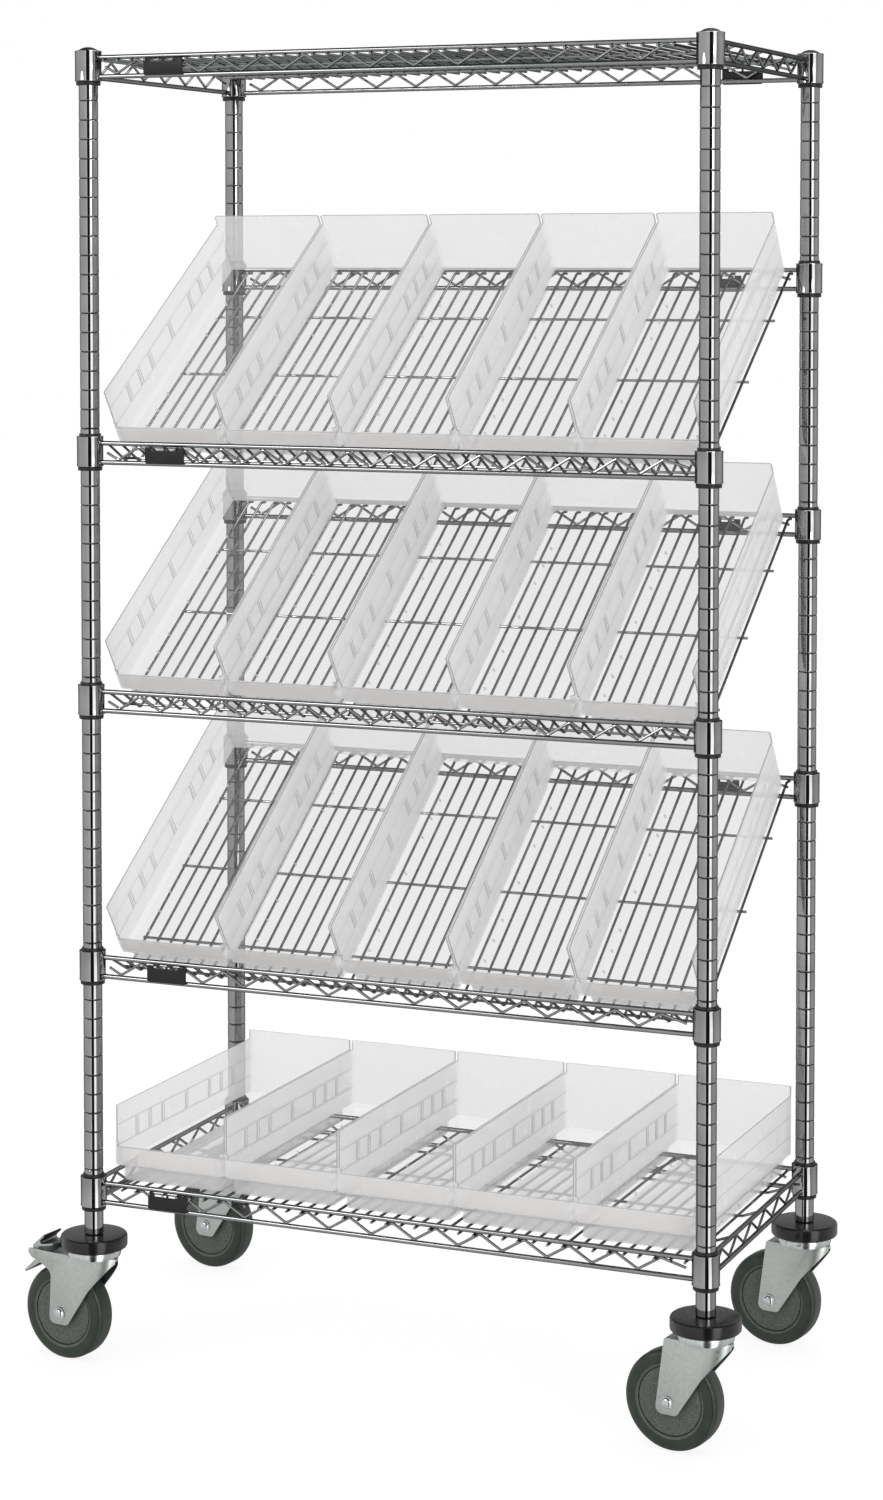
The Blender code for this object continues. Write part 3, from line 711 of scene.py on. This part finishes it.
def shaped(mesh, cutters=(), bevel=0.0, angle=35.0):
    """The mesh after Boolean cuts and a bevel of its sharp edges."""
    body = in_scene(mesh)
    helpers = [in_scene(one) for one in cutters]
    for helper in helpers:
        cut = body.modifiers.new("cut", "BOOLEAN")
        cut.operation = "DIFFERENCE"
        cut.object = helper
    if bevel:
        edge = body.modifiers.new("edge", "BEVEL")
        edge.width = bevel
        edge.segments = 2
        edge.limit_method = "ANGLE"
        edge.angle_limit = radians(angle)
    made = plain_mesh(body)
    for helper in helpers:
        bpy.data.objects.remove(helper, do_unlink=True)
    return made


# %% Label plates
plate_half, plate_tall, plate_skin, plate_gap = 0.0285, 0.022, 0.0011, 0.0003
outline = [(-plate_half, 0, 0.001), (-plate_half, -plate_tall, 0.003)]
outline += [(plate_half, -plate_tall, 0.003), (plate_half, 0, 0.001)]
slot_middle, slot_half, slot_reach, slot_low, slot_high = 0.0103, 0.009, 0.01, -0.0042, -0.0012
slots = [
    box_mesh((x - slot_half, -slot_reach, slot_low), (x + slot_half, slot_reach, slot_high))
    for x in (-slot_middle, slot_middle)
]
plate_mesh = shaped(plate(rounded_outline(outline), plate_skin, [black_plastic]), slots, 0.0004)
front_y = -half_y - main_wire - plate_gap - plate_skin
front_place, slanted_place, flat_place = 0.085 + plate_half - half_x, 0.305, 0.334
front_drop, rear_drop = 0.0035, 0.0075
for name, top in levels.items():
    if name != "slanted_2":
        spot = (front_place, front_y, top + wire_level - front_drop)
        parts, node = [(plate_mesh, in_cart(spot))], "label_plate_" + name
        piece("bare_" + node, parts, node)
    if name != "bottom":
        x = slanted_place if rises[name] else flat_place
        spot = (x, -front_y, top + rises[name] + wire_level - rear_drop)
        parts = [(plate_mesh, in_cart(spot))]
        piece("rear_label_plate_" + name, parts)
print("plates", len(plate_mesh.polygons), "faces each")

# %% [markdown]
# The bin is one injection moulding. Its wall is drawn as a sheet first: rounded rectangles at a few
# heights, joined into faces, with the front left open above its low wall and the back raised. A
# Solidify modifier gives the 2 mm wall and puts the edge material on the cut edges, so that the
# rims read as the greyer lines that they are on the real bin.

# %% The bin as a sheet with a wall
bin_half, bin_length, bin_height, bin_front, bin_skin = 0.08165, 0.408, 0.102, 0.048, 0.002
front_depth, side_depth, corner_depth, back_depth, tray_top = 0.0135, 0.0065, 0.0056, 0.003, 0.0205
tray_levels, line_levels, corner_top, slack = 5, {6, 9}, 0.055, 0.0001
bin_levels = [
    (0.0, 0.0086, 0.0116, 0.006),
    (0.0016, 0.007, 0.01, 0.007),
    (0.0195, 0.007, 0.01, 0.007),
    (tray_top, 0.006, 0.0088, 0.007),
    (0.0222, 0.0006, 0.001, 0.006),
]
wall_levels = (0.0234, 0.0472, 0.048, 0.054, 0.0746, 0.0753, 0.1, 0.102, 0.115)
bin_levels += [(z, 0.0, 0.0, 0.0055) for z in wall_levels]
bin_materials = [bin_wall_clear, bin_edge_clear, bin_front_clear, bin_edge_clear]
bin_materials += [bin_floor_clear, bin_base_clear, bin_ledge_clear]
EDGE, FRONT, FLOOR, BASE, LEDGE = 1, 2, 4, 5, 6


def rounded_rectangle(side_in, end_in, radius, steps=4):
    across, front, rear = bin_half - side_in - radius, end_in + radius, bin_length - end_in - radius
    points = []
    centres = ((across, front), (across, rear), (-across, rear), (-across, front))
    for turn, (x, y) in enumerate(centres):
        for k in range(steps + 1):
            a = radians(90 * (turn - 1 + k / steps))
            points.append((x + radius * cos(a), y + radius * sin(a)))
    return points


def bin_sheet():
    bm, loops = bmesh.new(), []
    for z, side_in, end_in, radius in bin_levels:
        points = rounded_rectangle(side_in, end_in, radius)
        loops.append([bm.verts.new((x, y, z)) for x, y in points])
    bm.faces.new(reversed(loops[0])).material_index = FLOOR
    for k, (a, b) in enumerate(zip(loops, loops[1:])):
        top = bin_levels[k + 1][0]
        for i in range(len(a)):
            j = (i + 1) % len(a)
            quad = (a[i], a[j], b[j], b[i])
            centre = sum((v.co for v in quad), Vector()) / 4
            front_wall = centre.y < front_depth and abs(centre.x) < bin_half - side_depth
            front_corner = centre.y < corner_depth and top > corner_top
            back_wall = centre.y > bin_length - back_depth
            if top > bin_front + slack and (front_wall or front_corner):
                continue
            if top > bin_height + slack and not back_wall:
                continue
            face = bm.faces.new(quad)
            if k in line_levels and not back_wall:
                face.material_index = EDGE
            elif front_wall:
                face.material_index = FRONT if centre.z > tray_top else BASE
            elif k < tray_levels:
                face.material_index = LEDGE
    loose = [v for v in bm.verts if not v.link_faces]
    bmesh.ops.delete(bm, geom=loose, context="VERTS")
    return as_mesh(bm, bin_materials)


holder = in_scene(bin_sheet())
wall = holder.modifiers.new("wall", "SOLIDIFY")
wall.thickness = bin_skin
wall.use_even_offset = True
wall.use_quality_normals = True
wall.material_offset_rim = 1
shell = plain_mesh(holder)
print("bin shell", len(shell.polygons), "faces")

# %% [markdown]
# Inside each side wall are seven shallow ribs that a divider slides between, in groups of three,
# one and three. Each rib is three raised lines, with a short tick under it at the edge of the tray.
# The front has a raised card pocket. All of it is moulded in, so it belongs to the same piece.

# %% Ribs, ticks and card pocket
rib_places, rib_lines = (0.06, 0.097, 0.134, 0.204, 0.274, 0.311, 0.348), (-0.004, -0.0008, 0.004)
rib_proud, rib_half, rib_low, rib_high = 0.0008, 0.0004, 0.0495, 0.0742
tick_in, tick_deep, tick_half, tick_low, tick_high = 0.0092, 0.003, 0.0005, 0.0021, 0.0075
details = []
for side in (-1, 1):
    inner, foot = side * (bin_half - bin_skin), side * (bin_half - tick_in)
    for y in rib_places:
        a, b = sorted((inner, inner - side * rib_proud))
        for line in rib_lines:
            low, high = (a, y + line - rib_half, rib_low), (b, y + line + rib_half, rib_high)
            details.append(box_mesh(low, high, [bin_rib_clear]))
        a, b = sorted((foot, foot - side * tick_deep))
        low, high = (a, y - tick_half, tick_low), (b, y + tick_half, tick_high)
        details.append(box_mesh(low, high, [bin_base_clear]))
pocket = [(-0.046, 0.0255), (0.07, 0.0255), (0.07, 0.046), (-0.046, 0.046)]
pocket_outline = rounded_outline([(x, z, 0.001) for x, z in pocket], 2)
pocket_half = 0.0003
card_pocket = plate(pocket_outline, pocket_half, [bin_front_clear])
card_pocket.transform(Matrix.Translation((0, -pocket_half, 0)))
bin_mesh = joined([(mesh, Matrix.Identity(4)) for mesh in [shell, card_pocket] + details])

bin_pitch, flat_in, flat_lift, slanted_in, slanted_lift = 0.1645, 0.022, 0.00055, 0.006, 0.0032
flat_seat = Vector((0, flat_in - half_y, wire_level - main_wire + flat_lift))
slanted_seat = trough + mat_along * slanted_in + mat_up * slanted_lift
for level, name in enumerate(levels):
    if name == "top":
        continue
    flat = name == "bottom"
    seat, turn = (flat_seat if flat else slanted_seat), Matrix.Rotation(0 if flat else slope, 3, "X")
    for column in range(5):
        at = seat + X * (column - 2) * bin_pitch + Z * levels[name]
        node = f"bin_{level}_{column + 1}"
        piece("clear_" + node, [(bin_mesh, in_cart(at, turn))], node, node)
print("bins", len(bin_mesh.polygons), "faces each")

# %% [markdown]
# The wheel is turned from one profile: an olive tread with rounded shoulders, a lighter bead, a
# groove darkened with painted shade, the speckled hub and its boss. Each stretch of it has its own
# material.

# %% Wheels
trail, wheel_radius, fork_gap = 0.042, 0.0635, 0.039
stretches = [
    [(0.0635, 0.007), (0.0632, 0.0096), (0.0622, 0.0123), (0.0602, 0.0145), (0.0565, 0.0157)],
    [(0.0472, 0.0159), (0.0465, 0.0154), (0.0445, 0.015)],
    [(0.044, 0.0144), (0.044, 0.0128), (0.043, 0.0128)],
    [(0.043, 0.0138), (0.0424, 0.0143), (0.024, 0.0146), (0.0165, 0.0146), (0.0148, 0.015)],
]
stretches[0] += [(0.05, 0.016)]
stretches[-1] += [(0.014, 0.016), (0.014, 0.019), (0.0055, 0.019)]
half_wheel = [spot for stretch in stretches for spot in stretch]
half_bands = [band for band, stretch in enumerate(stretches) for _ in stretch]
profile = half_wheel + [(r, -y) for r, y in reversed(half_wheel)]
bands = half_bands + half_bands[-2::-1] + [0]
wheel_mesh = revolved(profile, 72, [tread, hub_ring, groove_black, hub_grey], bands)
print("wheel", len(wheel_mesh.polygons), "faces")

# %% [markdown]
# The fork is pressed from one 2.8 mm sheet: a flat crown and two arms, each with a crease where
# the front of the arm turns inwards, and a nose where both arms wrap round the ball race. It is
# cut from its side outline, opened by a slot for the wheel, drawn in past the crease and round
# the nose, and its edges are rounded.

# %% Forks
fork_half, fork_top, crown_under, fork_edge = 0.0223, 0.145, 0.141, 0.001
kingpin_radius, brake_start, nose_least = 0.0064, 0.058, 0.22
arm = [(0.059, 0.049, 0.009), (0.029, 0.049, 0.008), (-0.004, 0.1, 0.03)]
arm += [(-0.0372, 0.1385, 0.002), (-0.0372, fork_top, 0.001)]
crease, nose_start, nose_tip, arm_draw = 0.023, -0.008, -0.0372, 4.0
nose_cuts = (-0.015, -0.021, -0.026, -0.03, -0.033, -0.0353)
plain_fork = [(0.0465, fork_top, 0.003)] + arm
brake_fork = [(0.094, fork_top, 0.003), (0.094, 0.139, 0.005), (0.088, 0.133, 0.006)]
brake_fork += [(0.07, 0.1265, 0.004), (0.056, 0.118, 0.012)] + arm


def fork_mesh(outline, braked):
    reach, half_gap = 0.2, fork_gap / 2
    hole = [(0, 0.15), (kingpin_radius, 0.15), (kingpin_radius, 0.13), (0, 0.13)]
    cutters = [box_mesh((-reach, -half_gap, -0.01), (reach, half_gap, crown_under))]
    cutters.append(revolved(hole, 24, []))
    if braked:
        cutters.append(box_mesh((brake_start, -half_gap, 0.1), (reach, half_gap, 0.16)))
    made = shaped(plate(rounded_outline(outline, 6), fork_half, [zinc_steel]), cutters)
    bm = bmesh.new()
    bm.from_mesh(made)
    bmesh.ops.remove_doubles(bm, verts=bm.verts, dist=1e-6)
    for cut in (crease, nose_start, *nose_cuts):
        whole = bm.verts[:] + bm.edges[:] + bm.faces[:]
        bmesh.ops.bisect_plane(bm, geom=whole, plane_co=(cut, 0, 0), plane_no=(1, 0, 0), dist=1e-6)
    for v in bm.verts:
        if v.co.x < crease and abs(v.co.y) > 0.01:
            v.co.y *= 1 - arm_draw * (crease - v.co.x)
        along = max(0.0, (v.co.x - nose_start) / (nose_tip - nose_start))
        v.co.y *= max(nose_least, sqrt(max(0.0, 1 - along * along)))
    bm.to_mesh(made)
    bm.free()
    return shaped(made, (), fork_edge, 42.0)


fork_meshes = [fork_mesh(plain_fork, False), fork_mesh(brake_fork, True)]
print("forks", [len(mesh.polygons) for mesh in fork_meshes])

# %% [markdown]
# Above the fork sits the ball race, a pressed ring with a rolled edge on the stem, then the bumper
# ring, whose flat glossy top mirrors the post. The axle bolt has a low domed head and a flange.

# %% Stem, bumper and axle
stem_profile = [(0.0, 0.219), (0.0101, 0.219), (0.0101, 0.1562), (0.03, 0.1562)]
stem_profile += [(0.0335, 0.1557), (0.0353, 0.154), (0.036, 0.1515), (0.0361, 0.148)]
stem_profile += [(0.0355, 0.1453), (0.006, 0.1453), (0.006, 0.1407), (0.01, 0.1407)]
stem_mesh = revolved(stem_profile + [(0.01, 0.132), (0.0, 0.132)], 48, [zinc_bolt])
ring = [(0.0107, 0.1743), (0.04, 0.1743), (0.0425, 0.1739), (0.0441, 0.1726), (0.0447, 0.1706)]
ring += [(0.0447, 0.1602), (0.0444, 0.1583), (0.0435, 0.157), (0.0415, 0.1565), (0.0107, 0.1565)]
bumper_mesh = revolved(ring, 72, [bumper_vinyl])
bolt_end = [(0.0, 0.0271), (0.0033, 0.0269), (0.0055, 0.0261), (0.0068, 0.0248), (0.0073, 0.0238)]
bolt_end += [(0.0086, 0.0237), (0.0088, 0.0232), (0.0086, 0.0227), (0.005, 0.0226)]
axle_mesh = revolved(bolt_end + [(r, -y) for r, y in reversed(bolt_end)], 32, [zinc_bolt])
print("stem", len(stem_mesh.polygons), "bumper", len(bumper_mesh.polygons), "faces")

# %% [markdown]
# The front left caster has a foot brake: a folded lever on a pin through both arms. Its upper and
# lower tabs are dipped in black plastic, and a push on the outer one turns it about the pin.

# %% Brake pedal
lever = [(0.0225, -0.027, 0.002), (0.0, -0.006, 0.004), (0.0095, 0.008, 0.003)]
lever += [(-0.01, 0.0255, 0.001), (-0.012, 0.0233, 0.001), (0.0025, 0.0103, 0.003)]
lever += [(-0.025, 0.016, 0.001), (-0.0255, 0.0135, 0.001), (0.001, 0.0075, 0.003)]
lever += [(-0.0075, -0.0065, 0.003), (-0.008, -0.011, 0.002), (0.0208, -0.0293, 0.001)]
lever_half, lever_edge = 0.0185, 0.0006
lever_mesh = plate(rounded_outline(lever, 3), lever_half, [zinc_steel, black_plastic])
lever_mesh = shaped(lever_mesh, (), lever_edge)
for face in lever_mesh.polygons:
    x, z = face.center.x, face.center.z
    upper_tab = z > 0.015 and x > -0.013
    lower_tab = z < -0.013 and x > 0.004
    face.material_index = int(upper_tab or lower_tab)
pin_radius = 0.0029
pin_profile = [(0, fork_half), (pin_radius, fork_half), (pin_radius, -fork_half), (0, -fork_half)]
pin_mesh = revolved(pin_profile, 24, [zinc_bolt])
brake_pivot = (0.081, 0, 0.1395)

# %% Put the casters together
heading = Matrix.Rotation(radians(172), 3, "Z")
on_side = Matrix.Rotation(pi / 2, 4, "X")
for corner, (x, y) in corners.items():
    post = in_cart((x, y, 0))
    swivel = in_cart((x, y, 0), heading)
    hub = swivel @ Matrix.Translation((trail, 0, wheel_radius)) @ on_side
    caster, braked = "caster_" + corner, corner == "front_left"
    for name, mesh, place, body, node, slot in (
        ("stem_and_race_", stem_mesh, post, "cart_frame", "stem_", "zinc_steel"),
        ("bumper_ring_", bumper_mesh, post, "cart_frame", "bumper_", "bumper_rubber"),
        ("pressed_fork_", fork_meshes[braked], swivel, caster, "fork_", "zinc_steel"),
        ("axle_bolt_", axle_mesh, hub, caster, "axle_", "zinc_steel"),
        ("caster_wheel_", wheel_mesh, hub, "wheel_" + corner, "wheel_", "tread_rubber"),
    ):
        sharp = 25.0 if node == "fork_" else 30.0
        piece(name + corner, [(mesh, place)], node + corner, body, sharp)
    if braked:
        pivot = swivel @ Matrix.Translation(brake_pivot)
        parts = [(lever_mesh, pivot), (pin_mesh, pivot @ on_side)]
        piece("foot_brake", parts, "brake_pedal", "brake_pedal", 25.0)
print("casters", len(corners))

# %% [markdown]
# The photograph was taken from the front right at chest height, with a long lens. The camera stands
# where the posts and shelves line up with it and looks a little down. The posts are upright there,
# so the rest of the way down to the cart is the lens's shift, as in a view camera.

# %% Camera
azimuth, elevation, distance = radians(23.03), radians(2.6), 4.2391
photo_height, focal_pixels, shift_pixels = 1500, 3177, 338
aim = cart_shift + Vector((-0.0146, 0, 1.2734))
level_away = Vector((sin(azimuth), -cos(azimuth), 0))
away = level_away * cos(elevation) + Z * sin(elevation)
lens = bpy.data.cameras.new("photo camera")
camera = in_scene(lens, "photo camera")
camera.location = aim + away * distance
camera.rotation_euler = (pi / 2 - elevation, 0, azimuth)
lens.sensor_width = 36.0
lens.lens = lens.sensor_width * focal_pixels / photo_height
lens.shift_y = -shift_pixels / photo_height
scene.camera = camera
print("camera", tuple(round(v, 3) for v in camera.location), "lens", round(lens.lens, 2))

# %% [markdown]
# A catalogue picture: a white surround and large soft lamps. White is what the camera and clear
# plastic see; the light on the cart comes from a plain grey world and the lamps. The floor glows
# just enough to look as white as the surround. Chrome needs a studio to mirror, so reflections see
# a black flag beside the camera, a bright strip next to it, a dark ceiling and a darker floor.

# %% Floor, world and lamps
world = bpy.data.worlds.new("white studio")
scene.world = world
world.use_nodes = True
tree = world.node_tree
tree.nodes.clear()
place = add(tree, "ShaderNodeTexCoord")
part = add(tree, "ShaderNodeSeparateXYZ", {0: (place, "Generated")})
turned = maths(tree, "ARCTAN2", (part, "X"), maths(tree, "MULTIPLY", (part, "Y"), -1.0))
limits = {"From Min": azimuth - pi, "From Max": azimuth + pi}
share = add(tree, "ShaderNodeMapRange", {"Value": turned}, limits, clamp=False)
wrapped = add(tree, "ShaderNodeMath", {0: share}, operation="FRACT")


def greys(tree, source, stops):
    """A ramp of greys. stops are (place in the ramp, grey) pairs, both from 0 to 1."""
    ramp = add(tree, "ShaderNodeValToRGB", {"Fac": source})
    elements = ramp.color_ramp.elements
    while len(elements) < len(stops):
        elements.new(0.5)
    for element, (place, grey) in zip(elements, stops):
        element.position, element.color = place, (grey, grey, grey, 1)
    return ramp


WHITE = (1, 1, 1, 1)
brightest = 3.2
around = [(-180, 0.42), (-146, 0.5), (-138, 1.0), (-60, 1.0), (-24, 1.15), (-14, 1.6)]
around += [(-12, 0.02), (17, 0.02), (19, brightest), (42, brightest), (46, 0.4), (60, 0.75)]
around += [(90, 0.95), (132, 0.85), (146, 0.45), (180, 0.42)]
bands = greys(tree, wrapped, [(turn / 360 + 0.5, grey / brightest) for turn, grey in around])
height = add(tree, "ShaderNodeMapRange", {"Value": (part, "Z")}, {"From Min": -1.0})
tall = [(0.0, 0.7), (0.2, 0.75), (0.42, 0.98), (0.78, 1.0), (0.84, 0.2), (1.0, 0.12)]
share = maths(tree, "MULTIPLY", bands, greys(tree, height, tall))
studio = maths(tree, "MULTIPLY", share, brightest)
rays = add(tree, "ShaderNodeLightPath")
shown = maths(tree, "MAXIMUM", (rays, "Is Camera Ray"), (rays, "Is Transmission Ray"))
dim = add(tree, "ShaderNodeBackground", values={"Color": WHITE, "Strength": 0.97})
white = add(tree, "ShaderNodeBackground", values={"Color": WHITE})
mirrored = add(tree, "ShaderNodeBackground", {"Strength": studio}, {"Color": WHITE})
plain = add(tree, "ShaderNodeMixShader", {0: shown, 1: dim, 2: white})
mixed = add(tree, "ShaderNodeMixShader", {0: (rays, "Is Glossy Ray"), 1: plain, 2: mirrored})
add(tree, "ShaderNodeOutputWorld", {"Surface": mixed})

floor_paint, tree = new_material("pale studio floor")
rays = add(tree, "ShaderNodeLightPath")
seen = maths(tree, "MAXIMUM", (rays, "Is Camera Ray"), (rays, "Is Glossy Ray"))
shown = maths(tree, "MAXIMUM", seen, (rays, "Is Transmission Ray"))
matt = add(tree, "ShaderNodeBsdfDiffuse", values={"Color": linear("#D2D2D2")})
dull = add(tree, "ShaderNodeBsdfDiffuse", values={"Color": linear("#6A6A6A")})
glow = add(tree, "ShaderNodeEmission", values={"Color": WHITE, "Strength": 0.87})
both = add(tree, "ShaderNodeAddShader", {0: dull, 1: glow})
finish_material(tree, add(tree, "ShaderNodeMixShader", {0: shown, 1: matt, 2: both}))

bm = bmesh.new()
bmesh.ops.create_grid(bm, x_segments=1, y_segments=1, size=20)
floor = in_scene(as_mesh(bm, [floor_paint]), "studio_floor")
floor.visible_glossy = False


def lamp(name, place, target, size, power):
    data = bpy.data.lights.new(name, "AREA")
    data.shape, data.size, data.energy = "DISK", size, power
    made = in_scene(data, name)
    made.location = place
    made.rotation_euler = (Vector(target) - Vector(place)).to_track_quat("-Z", "Y").to_euler()


lamp("key_softbox", (-2.6, -4.2, 3.6), (0, 0, 0.9), 1.8, 62)
lamp("fill_softbox", (4.4, -3.4, 2.4), (0, 0, 0.9), 1.6, 46)
lamp("top_softbox", (0.4, 0.6, 4.2), (0, 0, 0.8), 2.0, 30)
scene.view_settings.view_transform = "Standard"
print("stage ready")
